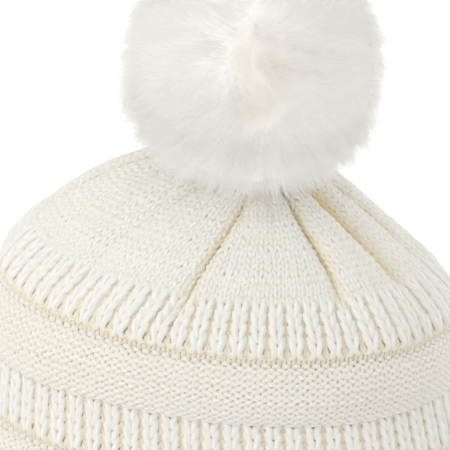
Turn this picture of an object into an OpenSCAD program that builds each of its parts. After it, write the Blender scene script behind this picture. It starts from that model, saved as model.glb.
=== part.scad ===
// Knitted winter beanie with a removable faux-fur pom.
// Millimetres, +Z up. The origin is the middle of the opening, on the plane that the brim stands on.
// X runs along the long axis of the head oval, and -Y is the side that the photograph shows.

/* [Head opening] */
// Inside length of the brim, front to back of the head
head_length = 196; // [150:1:240]
// Inside breadth of the brim, ear to ear
head_breadth = 148; // [110:1:190]

/* [Knit] */
// Thickness of the knitted wall at the ends of the oval
knit_wall = 4.5; // [3:0.1:6]
// How far a purl roll stands proud of the ribbing
roll_bulge = 5; // [3:0.5:9]
// Height of each purl roll
roll_height = 27; // [18:1:34]
// Height of the rib band between the two rolls
rib_height = 27; // [16:1:40]
// Height of the ribbed brim above its bound-off edge
brim_height = 34; // [20:1:70]
// Height of the bound-off edge
edge_height = 4; // [3:0.5:6]
// How far the bound-off edge stands proud of the ribbing
edge_bulge = 0.8; // [0.4:0.1:1.6]

/* [Crown] */
// Height of the shoulder rib, which leans in above the upper roll
shoulder_height = 21; // [15:1:30]
// How far the top of the shoulder rib leans in
shoulder_inset = 15; // [8:1:22]
// Rise of the gathered crown above the shoulder rib
crown_rise = 40; // [30:1:60]
// Depth of the gathered folds
fold_depth = 8; // [3:0.5:11]
// Half angle that one fold takes up, in degrees
fold_spread = 7; // [5:0.5:10]
// Thickness of the drawstring yarn that closes the crown
drawstring_d = 2.4; // [1.5:0.1:3]

/* [Seam] */
// Width of the linked seam ridge inside the back, in degrees of the oval
seam_angle = 4; // [2:0.5:8]
// How far the seam ridge stands into the hat
seam_depth = 2; // [1:0.2:4]

/* [Press stud] */
// Diameter of the press stud's flanges
stud_flange_d = 12; // [10:0.5:16]
// Thickness of the press stud's flanges
flange_thickness = 0.9; // [0.6:0.1:1.4]
// Diameter of the stud's knob
knob_d = 4.8; // [4.4:0.1:6]
// Height of the knob above its flange
knob_height = 3.5; // [2.8:0.1:5]
// How far the knob's waist, where the springs close, is drawn in
waist_depth = 0.25; // [0.1:0.05:0.4]
// Diameter of the rivet posts
post_d = 3; // [2:0.1:3.4]
// How far the rivets' caps are domed
cap_dome = 0.5; // [0.2:0.1:1]
// Outside diameter of the socket
socket_d = 13; // [11:0.5:18]
// Thickness of the socket's roof over the knob
socket_roof = 1; // [0.6:0.1:2]
// Radius of the socket's edges and of the knob's head
snap_round = 0.6; // [0.3:0.1:1]
// Width of the lead-in round the socket's mouth
lead_in = 0.3; // [0.1:0.1:0.5]
// Diameter of the socket's two spring wires
spring_d = 0.7; // [0.5:0.1:0.9]
// Length of each spring wire
spring_length = 9; // [7:0.5:10]
// Diameter of the felt patch inside the crown, which backs the flat pucker
patch_d = 30; // [22:1:40]
// Thickness of the felt patch
patch_thickness = 1.5; // [1:0.1:3]

/* [Pom] */
// Diameter of the pom over the tips of the fur
pom_d = 114; // [100:1:150]
// Height of the pom's middle above the crown
pom_lift = 41; // [38:1:60]
// Diameter of the stuffed pelt ball that the fur grows from
pelt_d = 60; // [46:1:72]
// Thickness of the pelt's woven backing
pelt_thickness = 1.5; // [1:0.1:3]
// Diameter of the stiff disc inside the pelt's mouth
disc_d = 22; // [17:0.5:26]
// Thickness of that disc
disc_thickness = 1.5; // [1:0.1:3]
// Radius of the bead on the rim of that disc
disc_bead = 0.6; // [0.3:0.1:1]
// Thickness of the thread that draws the pelt's mouth shut
thread_d = 1.4; // [0.8:0.1:2]
// How far the fur's skirt falls below the pelt's mouth
skirt_drop = 5.6; // [2:0.1:6]

/* [Clearances] */
// Radial running clearance of the knob in the socket
knob_clearance = 0.05; // [0.02:0.01:0.1]
// Gap between soft pieces that only rest on each other
rest_gap = 0.3; // [0.2:0.05:0.5]
// Radial gap round each rivet post, and the gap at its end
post_gap = 0.05; // [0.02:0.01:0.1]
// Gap between the stud's flange and the socket
snap_gap = 0.2; // [0.1:0.05:0.4]
// Radial gap between the socket and the pelt's mouth
mouth_gap = 0.7; // [0.4:0.1:1.5]
// Room round a spring wire in its groove
spring_gap = 0.05; // [0.03:0.01:0.1]
// Room round a post where it goes through cloth
cloth_gap = 0.2; // [0.1:0.05:0.4]
// Room between the snap and the drawstring
drawstring_gap = 0.6; // [0.3:0.1:2]

/* [Hidden] */
$fn = 96;

// The oval: every knitted ring is a revolve that is narrowed along Y by this ratio.
oval = head_breadth / head_length;
inside_r = head_length / 2;
rib_r = inside_r + knit_wall;

// Heights of the knitted sections, from the floor up.
brim_z = edge_height;
lower_roll_z = brim_z + brim_height;
middle_rib_z = lower_roll_z + roll_height;
upper_roll_z = middle_rib_z + rib_height;
shoulder_z = upper_roll_z + roll_height;
crown_z = shoulder_z + shoulder_height;
crown_top = crown_z + crown_rise;
crown_r = rib_r - shoulder_inset;

// The crown's folds, by their angles round the oval from +X. 270 is the front.
fold_angles = [22, 55, 85, 118, 150, 178, 204, 229, 257, 303, 324, 350];
crown_steps = 5;
crown_sides = 88;
crown_curve = 1.9;
shoulder_curve = 1.6;
fold_skew = 0.75;
fold_fullness = 0.8;
pucker_margin = 1;
pucker_r = patch_d / 2 + pucker_margin;
hole_r = post_d / 2 + cloth_gap;

// Heights of the press stud and the pom's hub, from the crown up.
patch_z = crown_top - knit_wall - patch_thickness;
knob_z = crown_top + flange_thickness;
knob_top = knob_z + knob_height;
knob_roof = 0.8;
post_top = knob_top - knob_roof - post_gap;
socket_z = knob_z + snap_gap;
socket_bore_top = knob_top + rest_gap;
socket_top = socket_bore_top + socket_roof;
disc_top = socket_top + disc_thickness;
spring_z = knob_z + knob_height / 2;
post_r = post_d / 2;
post_hole_r = post_r + post_gap;
waist_r = knob_d / 2 - waist_depth;
round_steps = 6;

// The pelt ball sits with its mouth just under the hub's disc.
pelt_r = pelt_d / 2;
lip_top = socket_top - rest_gap;
lip_bottom = lip_top - pelt_thickness;
mouth_r = socket_d / 2 + mouth_gap;
floor_margin = 2;
floor_r = disc_d / 2 + floor_margin;
pelt_inner_r = pelt_r - pelt_thickness;
pelt_z = lip_top + sqrt(pow(pelt_inner_r, 2) - pow(floor_r, 2));
thread_r = (mouth_r + floor_r) / 2;

// The fur's outline, and the dish under it that falls over the crown.
pom_r = pom_d / 2;
pom_z = crown_top + pom_lift;
pom_steps = 48;
pelt_steps = 32;
dish_top = lip_bottom;
skirt_z = lip_bottom - skirt_drop;

// Points of an arc in the profile plane, from angle a to angle b.
function arc(x, z, r, a, b, n) =
    [for (i = [0:n]) let (t = a + (b - a) * i / n) [x + r * cos(t), z + r * sin(t)]];

// The rounded edge of a flange of height h that stands on z, from its lower face to its upper one.
function flange_edge(r, z, h) = arc(r - h / 2, z + h / 2, h / 2, -90, 90, round_steps);

// A shallow dome over radius a, from its edge at height z to its top, h above.
function dome(a, z, h) =
    let (r = (a * a + h * h) / (2 * h)) arc(0, z + h - r, r, acos(a / r), 90, round_steps);

// One side of a purl roll: a half ellipse that starts and ends at radius r.
function roll_side(r, z) =
    [for (a = [0:15:180]) [r + roll_bulge * sin(a), z + roll_height / 2 * (1 - cos(a))]];

// One side of the shoulder rib, which leans in more and more towards the crown.
function shoulder_side(r) =
    [for (u = [0:1/6:1]) [r - shoulder_inset * pow(u, shoulder_curve), shoulder_z + shoulder_height * u]];

function reversed(list) = [for (i = [len(list) - 1:-1:0]) list[i]];

function oval_points(r) = [for (i = [0:$fn - 1]) let (t = 360 * i / $fn) [r * cos(t), r * oval * sin(t)]];

// A knitted ring from its profile, narrowed to the head's oval.
module knit_ring(profile) {
    scale([1, oval, 1]) rotate_extrude() polygon(profile);
}

module straight_band(z, h) {
    knit_ring([[inside_r, z], [rib_r, z], [rib_r, z + h], [inside_r, z + h]]);
}

module purl_roll(z) {
    knit_ring(concat(roll_side(rib_r, z), reversed(roll_side(inside_r, z))));
}

module brim_edge() {
    color("ivory")
        linear_extrude(edge_height)
            difference() {
                polygon(oval_points(rib_r + edge_bulge));
                polygon(oval_points(inside_r - edge_bulge));
            }
}

module brim_rib() {
    color("ivory") straight_band(brim_z, brim_height);
}

module lower_purl_roll() {
    color("ivory") purl_roll(lower_roll_z);
}

module middle_rib() {
    color("ivory") straight_band(middle_rib_z, rib_height);
}

module upper_purl_roll() {
    color("ivory") purl_roll(upper_roll_z);
}

module shoulder_rib() {
    color("ivory")
        knit_ring(concat(shoulder_side(rib_r), reversed(shoulder_side(inside_r))));
}

// How deep the crown is folded at angle t, from 0 between folds to 1 in a crease.
function crease(t) =
    max([for (a = fold_angles) let (d = abs((t - a + 540) % 360 - 180)) exp(-pow(d / fold_spread, 2))]);

// A point of the crown's cloth: u is 0 at the pucker and 1 at the shoulder rib, and inner is the
// knit wall on the inside and 0 on the outside. A crease sinks the cloth square to the dome.
function crown_point(u, t, inner) =
    let (
        reach = crown_r - inner - pucker_r,
        sink = fold_depth * pow(sin(180 * pow(u, fold_skew)), fold_fullness) * crease(t),
        r = pucker_r + reach * u - sink * u,
        short = pucker_r + (oval * (crown_r - inner) - pucker_r) * u - sink * u,
        z = crown_top - inner - (crown_rise - inner) * pow(u, crown_curve) - sink * (1 - u)
    )
    [r * cos(t), short * sin(t), z];

// The rings run from the post hole out over the top to the shoulder and back underneath.
function crown_ring(u, inner) =
    [for (i = [0:crown_sides - 1]) crown_point(u, 360 * i / crown_sides, inner)];
function hole_ring(z) =
    [for (i = [0:crown_sides - 1]) let (t = 360 * i / crown_sides) [hole_r * cos(t), hole_r * sin(t), z]];
function crown_rings() = concat(
    [hole_ring(crown_top)],
    [for (k = [0:crown_steps]) crown_ring(k / crown_steps, 0)],
    [for (k = [crown_steps:-1:0]) crown_ring(k / crown_steps, knit_wall)],
    [hole_ring(crown_top - knit_wall)]
);

module crown_gathers() {
    rings = crown_rings();
    count = len(rings);
    points = [for (ring = rings) each ring];
    faces = [
        for (k = [0:count - 1], i = [0:crown_sides - 1])
            let (
                a = k * crown_sides + i,
                b = k * crown_sides + (i + 1) % crown_sides,
                c = ((k + 1) % count) * crown_sides + (i + 1) % crown_sides,
                d = ((k + 1) % count) * crown_sides + i
            )
            each [[a, b, c], [a, c, d]]
    ];
    color("ivory") polyhedron(points, faces);
}

// The ridge where the knitted panel's two edges are linked, inside the back of the hat.
module back_seam() {
    wall_r = inside_r - rest_gap;
    wall = concat(
        [[wall_r, brim_z]],
        roll_side(wall_r, lower_roll_z),
        roll_side(wall_r, upper_roll_z),
        [for (p = shoulder_side(wall_r)) if (p[1] > shoulder_z) p]
    );
    ridge = [for (p = wall) [p[0] - seam_depth, p[1]]];
    color("linen")
        scale([1, oval, 1])
            rotate([0, 0, 90 - seam_angle / 2])
                rotate_extrude(angle = seam_angle)
                    polygon(concat(wall, reversed(ridge)));
}

// The yarn that draws the crown shut lies in a ring on the pucker, outside the snap.
module crown_drawstring() {
    ring_r = max(stud_flange_d, socket_d) / 2 + drawstring_d / 2 + drawstring_gap;
    color("ivory")
        translate([0, 0, crown_top])
            rotate_extrude()
                intersection() {
                    translate([ring_r, 0]) circle(drawstring_d / 2);
                    translate([ring_r - drawstring_d, 0]) square([2 * drawstring_d, drawstring_d]);
                }
}

module crown_patch() {
    color("beige")
        translate([0, 0, patch_z])
            difference() {
                cylinder(d = patch_d, h = patch_thickness);
                translate([0, 0, -1]) cylinder(r = hole_r, h = patch_thickness + 2);
            }
}

// A rivet with a domed cap under the patch. Its post runs up through the cloth into the stud.
module stud_rivet() {
    cap_r = stud_flange_d / 2;
    edge = flange_edge(cap_r, 0, flange_thickness);
    top = dome(cap_r - flange_thickness / 2, flange_thickness, cap_dome);
    color("silver")
        rotate_extrude()
            polygon(concat(
                [[0, post_top], [post_r, post_top], [post_r, patch_z]],
                [for (p = concat(edge, top)) [p[0], patch_z - p[1]]]
            ));
}

// The stud: a thin flange with a hollow knob, drawn in at the waist and round at its head.
module snap_stud() {
    flange_r = stud_flange_d / 2;
    head_z = knob_top - snap_round;
    color("silver")
        rotate_extrude()
            polygon(concat(
                [[post_hole_r, crown_top]],
                flange_edge(flange_r, crown_top, flange_thickness),
                arc(waist_r + snap_round, knob_z + snap_round, snap_round, 270, 180, round_steps),
                [[waist_r, spring_z]],
                arc(knob_d / 2 - snap_round, head_z, snap_round, 0, 90, round_steps),
                [[0, knob_top], [0, knob_top - knob_roof], [post_hole_r, knob_top - knob_roof]]
            ));
}

// Where the spring wires run: one on each side of the knob, across the socket.
module spring_wires(d, length) {
    offset_y = knob_d / 2 + knob_clearance + spring_gap + spring_d / 2;
    for (side = [-1, 1])
        translate([-length / 2, side * offset_y, spring_z]) rotate([0, 90, 0]) cylinder(d = d, h = length);
}

// The socket: a round-edged cup with a lead-in at its mouth and a groove for each spring wire.
module snap_socket() {
    socket_r = socket_d / 2;
    bore_r = knob_d / 2 + knob_clearance;
    color("silver")
        difference() {
            rotate_extrude()
                polygon(concat(
                    [[bore_r, socket_bore_top], [bore_r, socket_z + lead_in], [bore_r + lead_in, socket_z]],
                    arc(socket_r - snap_round, socket_z + snap_round, snap_round, -90, 0, round_steps),
                    arc(socket_r - snap_round, socket_top - snap_round, snap_round, 0, 90, round_steps),
                    [[post_hole_r, socket_top], [post_hole_r, socket_bore_top]]
                ));
            spring_wires(spring_d + 2 * spring_gap, spring_length + 2 * spring_gap);
        }
}

module socket_springs() {
    color("darkgray") spring_wires(spring_d, spring_length);
}

// The stiff disc that the pelt's mouth is drawn shut under, with a bead round its upper edge.
module hub_disc() {
    disc_r = disc_d / 2;
    color("whitesmoke")
        rotate_extrude()
            polygon(concat(
                [[post_hole_r, socket_top], [disc_r, socket_top]],
                arc(disc_r - disc_bead, disc_top, disc_bead, 0, 180, round_steps),
                [[post_hole_r, disc_top]]
            ));
}

// A rivet with a domed cap on the disc. Its post runs down into the socket's roof.
module socket_rivet() {
    cap_r = socket_d / 2;
    post_bottom = socket_bore_top + post_gap;
    color("silver")
        rotate_extrude()
            polygon(concat(
                [[0, post_bottom], [post_r, post_bottom], [post_r, disc_top]],
                flange_edge(cap_r, disc_top, flange_thickness),
                dome(cap_r - flange_thickness / 2, disc_top + flange_thickness, cap_dome)
            ));
}

// The pelt's woven backing: a ball with a flat floor, open at its drawn-up mouth.
module pom_pelt() {
    inner_a = asin((lip_top - pelt_z) / pelt_inner_r);
    outer_a = asin((lip_bottom - pelt_z) / pelt_r);
    color("white")
        rotate_extrude()
            polygon(concat(
                [[mouth_r, lip_bottom]],
                arc(0, pelt_z, pelt_r, outer_a, 90, pelt_steps),
                arc(0, pelt_z, pelt_inner_r, 90, inner_a, pelt_steps),
                [[mouth_r, lip_top]]
            ));
}

module pom_thread() {
    color("white")
        translate([0, 0, lip_bottom - thread_d / 2])
            rotate_extrude() translate([thread_r, 0]) circle(thread_d / 2);
}

module pom_stuffing() {
    ball_r = pelt_inner_r - rest_gap;
    floor_z = disc_top + flange_thickness + cap_dome + rest_gap;
    floor_a = asin((floor_z - pelt_z) / ball_r);
    color("white")
        rotate_extrude()
            polygon(concat([[0, floor_z]], arc(0, pelt_z, ball_r, floor_a, 90, pelt_steps)));
}

// The outline of the fur: a round ball that is dished underneath, hollow where the pelt is.
module pom_fur() {
    pile_r = pelt_r + rest_gap;
    skirt_a = asin((skirt_z - pom_z) / pom_r);
    neck_a = asin((dish_top - pelt_z) / pile_r);
    color("white")
        rotate_extrude()
            polygon(concat(
                arc(0, pom_z, pom_r, skirt_a, 90, pom_steps),
                arc(0, pelt_z, pile_r, 90, neck_a, pelt_steps)
            ));
}

brim_edge();
brim_rib();
lower_purl_roll();
middle_rib();
upper_purl_roll();
shoulder_rib();
crown_gathers();
back_seam();
crown_drawstring();
crown_patch();
stud_rivet();
snap_stud();
snap_socket();
socket_springs();
hub_disc();
socket_rivet();
pom_pelt();
pom_thread();
pom_stuffing();
pom_fur();
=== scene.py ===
import math

import bmesh
import bpy
import numpy as np
from mathutils import Matrix, Vector, kdtree


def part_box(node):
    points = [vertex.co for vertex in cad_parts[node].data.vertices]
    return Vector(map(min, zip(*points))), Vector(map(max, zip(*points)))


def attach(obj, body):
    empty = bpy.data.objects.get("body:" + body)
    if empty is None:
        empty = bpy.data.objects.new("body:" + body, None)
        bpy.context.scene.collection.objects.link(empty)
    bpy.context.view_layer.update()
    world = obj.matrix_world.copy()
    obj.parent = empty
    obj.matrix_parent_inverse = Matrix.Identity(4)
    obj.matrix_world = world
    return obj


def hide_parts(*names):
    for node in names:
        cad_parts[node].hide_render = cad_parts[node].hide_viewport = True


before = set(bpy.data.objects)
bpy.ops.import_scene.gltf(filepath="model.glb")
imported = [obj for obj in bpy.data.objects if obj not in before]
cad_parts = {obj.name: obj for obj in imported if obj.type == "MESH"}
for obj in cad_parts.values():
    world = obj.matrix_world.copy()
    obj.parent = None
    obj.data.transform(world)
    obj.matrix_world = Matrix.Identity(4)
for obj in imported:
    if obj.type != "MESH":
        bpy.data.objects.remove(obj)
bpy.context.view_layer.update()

# The knitted body is one tube of thick cream acrylic yarn, knitted from the brim up: 1x1 rib, two bands with
# the purl side out that roll forward, and a plain crown that is drawn together in folds. Each course is
# its own round of yarn on a map of the fabric, so that ribs, bumps and V stitches are the yarn's own shape.
MM = 0.001
brim, lower_roll, middle_rib, upper_roll, shoulder, crown = (
    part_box(node)
    for node in (
        "brim_rib", "lower_purl_roll", "middle_rib", "upper_purl_roll", "shoulder_rib", "crown_gathers",
    )
)
# The rolls have slumped a little, and the rib above each one is drawn down with it.
slump = 2.5 * MM
for top, foot in ((upper_roll, shoulder), (lower_roll, middle_rib)):
    top[1].z = foot[0].z = top[1].z - slump
stitches = 132
wall = 4.5 * MM
tube_r = brim[1].x - wall / 2
oval = brim[1].y / brim[1].x
crown_r = crown[1].x - wall / 2
crown_top = crown[1].z - wall / 2
pucker_r = 16 * MM
shoulder_curve, crown_curve = 1.6, 1.9
roll_bulge = upper_roll[1].x - brim[1].x
roll_low, roll_round = 0.75, 0.7


def rib_line(box):
    return np.array([[tube_r, box[0].z, 1], [tube_r, box[1].z, 1]])


def roll_line(box):
    """A roll stands out most below its middle, so that its lower edge hangs over the rib."""
    up = (1 - np.cos(np.linspace(0, math.pi, 61))) / 2
    bulge = roll_bulge * np.abs(np.sin(math.pi * up**roll_low)) ** roll_round
    return np.c_[tube_r + bulge, box[0].z + (box[1].z - box[0].z) * up, np.ones(61)]


def shoulder_line(box):
    u = np.linspace(0, 1, 31)
    return np.c_[
        tube_r + (crown_r - tube_r) * u**shoulder_curve, box[0].z + (box[1].z - box[0].z) * u, np.ones(31)
    ]


def crown_line(box):
    u = np.linspace(1, 0, 91)
    return np.c_[
        pucker_r + (crown_r - pucker_r) * u, crown_top - (crown_top - box[0].z) * u**crown_curve, u
    ]


# Each band: its name, its CAD node, its line up the hat, its rows and the way they are knitted.
bands = [
    ("knit_brim_rib", "brim_rib", rib_line((Vector((0, 0, 1.6 * MM)), brim[1])), 12, "rib"),
    ("knit_lower_roll", "lower_purl_roll", roll_line(lower_roll), 10, "purl"),
    ("knit_middle_rib", "middle_rib", rib_line(middle_rib), 8, "rib"),
    ("knit_upper_roll", "upper_purl_roll", roll_line(upper_roll), 10, "purl"),
    ("knit_shoulder_rib", "shoulder_rib", shoulder_line(shoulder), 8, "rib"),
    ("knit_crown", "crown_gathers", crown_line(crown), 25, "plain"),
]
row_parts = 4


def evenly(line, count):
    """Points at even steps along a line."""
    far = np.r_[0, np.cumsum(np.hypot(*np.diff(line[:, :2], axis=0).T))]
    at = np.linspace(0, far[-1], count)
    return np.c_[[np.interp(at, far, column) for column in line.T]].T


lines = [evenly(line, rows * row_parts + 1) for _, _, line, rows, _ in bands]
profile = np.vstack([lines[0]] + [line[1:] for line in lines[1:]])
radius, height, open_share = profile.T
row_number = np.arange(len(profile)) / row_parts
rows_below_shoulder = sum(rows for *_, rows, _ in bands[:4])
gathering = np.clip((row_number - rows_below_shoulder) / (row_number[-1] - rows_below_shoulder), 0, 1)

# Above each roll the fabric dips inwards, where the rib starts behind it.
groove_depth, groove_height, groove_above = 1.2 * MM, 2.4 * MM, 1.0 * MM
for box in (lower_roll, upper_roll):
    radius = radius - groove_depth * np.exp(-(((height - box[1].z - groove_above) / groove_height) ** 2))

turns = np.linspace(0, 2 * math.pi, 2881)
short_radius = np.where(open_share < 1, pucker_r + (oval * crown_r - pucker_r) * open_share, oval * radius)


def sway(turn, row):
    """A slow, uneven wave round the hat, between about -1 and 1."""
    return (
        0.5 * np.sin(3 * turn + 1.1 + 0.11 * row)
        + 0.3 * np.sin(5 * turn + 0.4 - 0.17 * row)
        + 0.2 * np.sin(9 * turn + 2.2 + 0.31 * row)
    )


# The tube swells and dips by about a millimetre, and less towards the brim and the gathered top.
swelling, dipping, settled_rows = 1.1 * MM, 0.9 * MM, 10
settled = np.clip(row_number / settled_rows, 0, 1) * (1 - gathering)
push = swelling * sway(turns[None, :], row_number[:, None]) * settled[:, None]
drop = dipping * sway(turns[None, :] + 2, row_number[:, None] * 0.6) * settled[:, None]
smooth_hat = np.stack(
    [
        (radius[:, None] + push) * np.cos(turns),
        (short_radius[:, None] + push) * np.sin(turns),
        height[:, None] + drop,
    ],
    -1,
)


def outward(surface):
    """Unit normals of a grid of points, rows upwards and columns round the hat."""
    round_step = np.gradient(surface, axis=1)
    round_step[:, 0] = round_step[:, -1] = (surface[:, 1] - surface[:, -2]) / 2
    normal = np.cross(round_step, np.gradient(surface, axis=0))
    return normal / np.linalg.norm(normal, axis=-1, keepdims=True)


# Each fold of the crown: its place round the hat in degrees, its depth and half width in millimetres, the
# share of the way up from the shoulder's foot where it begins, how far its left side laps over it, in
# millimetres, and how far it bows to the right, in degrees. The deep ones part the crown into panels.
folds = [
    (22, 8, 3.0, 0.22, 0, 0), (55, 9, 3.2, 0.20, 0, 0), (85, 8, 3.0, 0.24, 0, 0),
    (118, 9, 3.0, 0.20, 0, 0), (150, 8, 3.2, 0.24, 0, 0), (178, 8, 3.0, 0.30, 0, 0),
    (204, 4, 2.6, 0.62, 0, 0), (229, 4, 2.6, 0.58, 0, 0), (257, 7.8, 2.3, 0.12, 2.6, 4.5),
    (267, 3.5, 2.2, 0.5, 0, 0), (287, 3, 2.4, 0.56, 0, 0), (303.5, 8.4, 2.5, 0.2, 0.8, 3.3),
    (331.5, 6.8, 4.0, 0.22, 0, 0), (357, 8, 3.2, 0.30, 0, 0),
]
deep, lap_reach = 6, 7 * MM
fold_turn = np.radians([fold[0] for fold in folds])
fold_path = []
sink, lap = np.zeros((2, len(profile), len(turns)))
for place, depth, half_width, begins, over, bow in folds:
    risen = np.clip((gathering - begins) / (1 - begins), 0, 1)[:, None]
    path = np.radians(place + bow * np.sin(math.pi * risen))
    fold_path.append(path[:, 0])
    beside = (path - turns + math.pi) % (2 * math.pi) - math.pi
    beside = beside * np.hypot(radius[:, None] * np.sin(turns), short_radius[:, None] * np.cos(turns))
    # A deep fold opens quickly on its way up, and a shallow one slowly.
    grown = risen ** (0.5 if depth >= deep else 1.3)
    fold_width = np.minimum(half_width * MM, 0.5 * math.pi * radius / len(folds))[:, None]
    sink = np.maximum(sink, depth * MM * grown * np.exp(-((beside / fold_width) ** 2)))
    lap = lap + over * MM * grown * (beside > 0) * np.exp(-np.abs(beside - fold_width) / lap_reach)
# Between the folds the fabric puffs out, by so many millimetres, least in the front panel and most beside it.
puffs = [2, 2, 2, 2, 2, 2, 2, 2.5, 0.5, 0.5, 0.5, 3, 2.5, 2]
panel = np.interp(
    turns,
    np.r_[fold_turn[-1] - 2 * math.pi, fold_turn, fold_turn[0] + 2 * math.pi],
    np.arange(-1, len(folds) + 1),
)
puff = np.array(puffs)[np.floor(panel).astype(int) % len(folds)] * MM * np.sin(math.pi * (panel % 1)) ** 0.8
lift = puff[None, :] * (np.sin(math.pi * gathering**0.8) ** 0.7)[:, None]
face = outward(smooth_hat)
forwards_round = np.cross([0, 0, 1], face)
folded_hat = smooth_hat + face * (lift + lap - sink)[..., None] + forwards_round * (0.8 * lap)[..., None]


def eased(values, start, end):
    """0 before start and 1 after end, with a smooth rise between."""
    share = np.clip((values - start) / (end - start), 0, 1)
    return share * share * (3 - 2 * share)


# The hat has slumped: its front panel is drawn together towards the right of the gather, and the right side
# of the crown is dented.
drawn_to, drawn_share, dent = 15 * MM, 0.42, 7.5 * MM
x, y, _ = np.moveaxis(folded_hat, -1, 0).copy()
plan = np.hypot(x, y / oval)
drawn = eased(plan, 16 * MM, 30 * MM) * eased(-plan, -82 * MM, -42 * MM) * np.clip(-np.sin(turns), 0, 1) ** 2
folded_hat[..., 0] += drawn_share * drawn * (drawn_to - x)
dented = np.sin(math.pi * np.clip((gathering - 0.1) / 0.8, 0, 1))[:, None] * np.clip(np.cos(turns), 0, 1) ** 2
folded_hat[..., 0] -= dent * dented

# Below the upper roll it spreads to the right, and its left side hangs a little lower.
shifted, widened, deepened, hangs_by, hangs_more = 4.6 * MM, 0.045, 0.03, 5 * MM, 3 * MM
x, y, z = np.moveaxis(folded_hat, -1, 0).copy()
spread_out = eased(-z, -100 * MM, -62 * MM) * (1 - 0.5 * eased(-z, -40 * MM, 0))
folded_hat[..., 0] += spread_out * (shifted + widened * x)
folded_hat[..., 1] += spread_out * deepened * y
hang = hangs_by * eased(-z, -119 * MM, -90 * MM) + hangs_more * eased(-z, -92 * MM, -65 * MM)
folded_hat[..., 2] -= hang * eased(-x, 15 * MM, 105 * MM) * eased(z, 4 * MM, 50 * MM)

# The wales keep to the fabric: between two deep folds they lie evenly along it, also down the folds' sides.
deep_folds = [i for i, fold in enumerate(folds) if fold[1] >= deep]
deep_path = np.array(fold_path)[deep_folds].T
wale_parts = 12
wales = np.arange(stitches * wale_parts) / wale_parts
base_step = np.hypot(np.sin(turns), oval * np.cos(turns))
base_length = np.r_[0, np.cumsum((base_step[1:] + base_step[:-1]) / 2)]
deep_wale = np.interp(fold_turn[deep_folds], turns, base_length / base_length[-1] * stitches)
fabric = np.empty((len(profile), len(wales), 3))
crease = np.empty((len(profile), len(wales)))
panel_length = np.empty((len(profile), len(deep_folds)))
for row, line in enumerate(folded_hat):
    along = np.r_[0, np.cumsum(np.linalg.norm(np.diff(line, axis=0), axis=1))]
    at_deep = np.interp(deep_path[row], turns, along)
    panel_length[row] = np.diff(np.r_[at_deep, at_deep[0] + along[-1]])
    target = np.interp(
        wales,
        np.r_[deep_wale[-1] - stitches, deep_wale, deep_wale[0] + stitches],
        np.r_[at_deep[-1] - along[-1], at_deep, at_deep[0] + along[-1]],
    )
    where = np.interp(target % along[-1], along, turns)
    fabric[row] = np.c_[[np.interp(where, turns, axis) for axis in line.T]].T
    crease[row] = np.interp(where, turns, sink[row])
face = np.cross(np.roll(fabric, -1, axis=1) - np.roll(fabric, 1, axis=1), np.gradient(fabric, axis=0))
face /= np.linalg.norm(face, axis=-1, keepdims=True)


def on_fabric(row, wale, out):
    """Points at a height in rows and a place in wales, standing out from the fabric by out metres."""
    r = np.clip(row * row_parts, 0, len(fabric) - 1.001)
    w = (wale * wale_parts) % len(wales)
    r0, w0 = np.floor(r).astype(int), np.floor(w).astype(int) % len(wales)
    r_part, w_part = (r - r0)[:, None], (w - np.floor(w))[:, None]
    w1 = (w0 + 1) % len(wales)

    def blended(grid):
        low = grid[r0, w0] * (1 - w_part) + grid[r0, w1] * w_part
        high = grid[r0 + 1, w0] * (1 - w_part) + grid[r0 + 1, w1] * w_part
        return low * (1 - r_part) + high * r_part

    return blended(fabric) + blended(face) * np.reshape(out, (-1, 1)), crease[r0, w0]


def placed(name, data):
    """A new object in the scene."""
    made = bpy.data.objects.new(name, data)
    bpy.context.scene.collection.objects.link(made)
    return made


def yarns(name, paths, thickness, sides, closed):
    """A mesh of round yarns along lines of points. Its map runs along each yarn in u and round it in v."""
    ring = bpy.data.curves.new("ring", "CURVE")
    ring.splines.new("POLY").points.add(sides - 1)
    a = -np.arange(sides) * 2 * math.pi / sides
    ring.splines[0].points.foreach_set("co", np.c_[np.cos(a), np.sin(a), 0 * a, 0 * a + 1].ravel())
    ring.splines[0].use_cyclic_u = True
    ring_object = placed("ring", ring)
    curve = bpy.data.curves.new(name, "CURVE")
    curve.dimensions, curve.bevel_mode, curve.bevel_object = "3D", "OBJECT", ring_object
    for path, width in zip(paths, thickness):
        spline = curve.splines.new("POLY")
        spline.points.add(len(path) - 1)
        spline.points.foreach_set("co", np.c_[path, np.ones(len(path))].ravel())
        spline.points.foreach_set("radius", np.broadcast_to(width, len(path)).astype(np.float32))
        spline.use_cyclic_u = closed
    drawn = placed(name, curve)
    mesh = bpy.data.meshes.new_from_object(drawn.evaluated_get(bpy.context.evaluated_depsgraph_get()))
    for o, data in ((drawn, curve), (ring_object, ring)):
        bpy.data.objects.remove(o)
        bpy.data.curves.remove(data)
    mesh.name = name
    mesh.shade_smooth()
    return mesh


def remap(mesh, change):
    """Renames the yarns' map for the export and moves its points: change takes and gives u and v."""
    layer = mesh.uv_layers[0]
    layer.name = "OFBake"
    uv = np.empty(len(mesh.loops) * 2, np.float32)
    layer.data.foreach_get("uv", uv)
    u, v = uv.reshape(-1, 2).T
    layer.data.foreach_set("uv", np.c_[change(u, v)].astype(np.float32).ravel())


def marked(mesh, name, values):
    """Gives each point of a mesh a value, under the name by which a material reads it."""
    mesh.attributes.new(name, "FLOAT", "POINT").data.foreach_set("value", np.asarray(values, np.float32))


def piece(name, mesh, look, body, node):
    """A finished piece: its material, the body that it rides on, and the CAD node it stands for."""
    made = placed(name, mesh)
    mesh.materials.clear()
    mesh.materials.append(look.material)
    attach(made, body)
    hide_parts(node)
    return made


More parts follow.
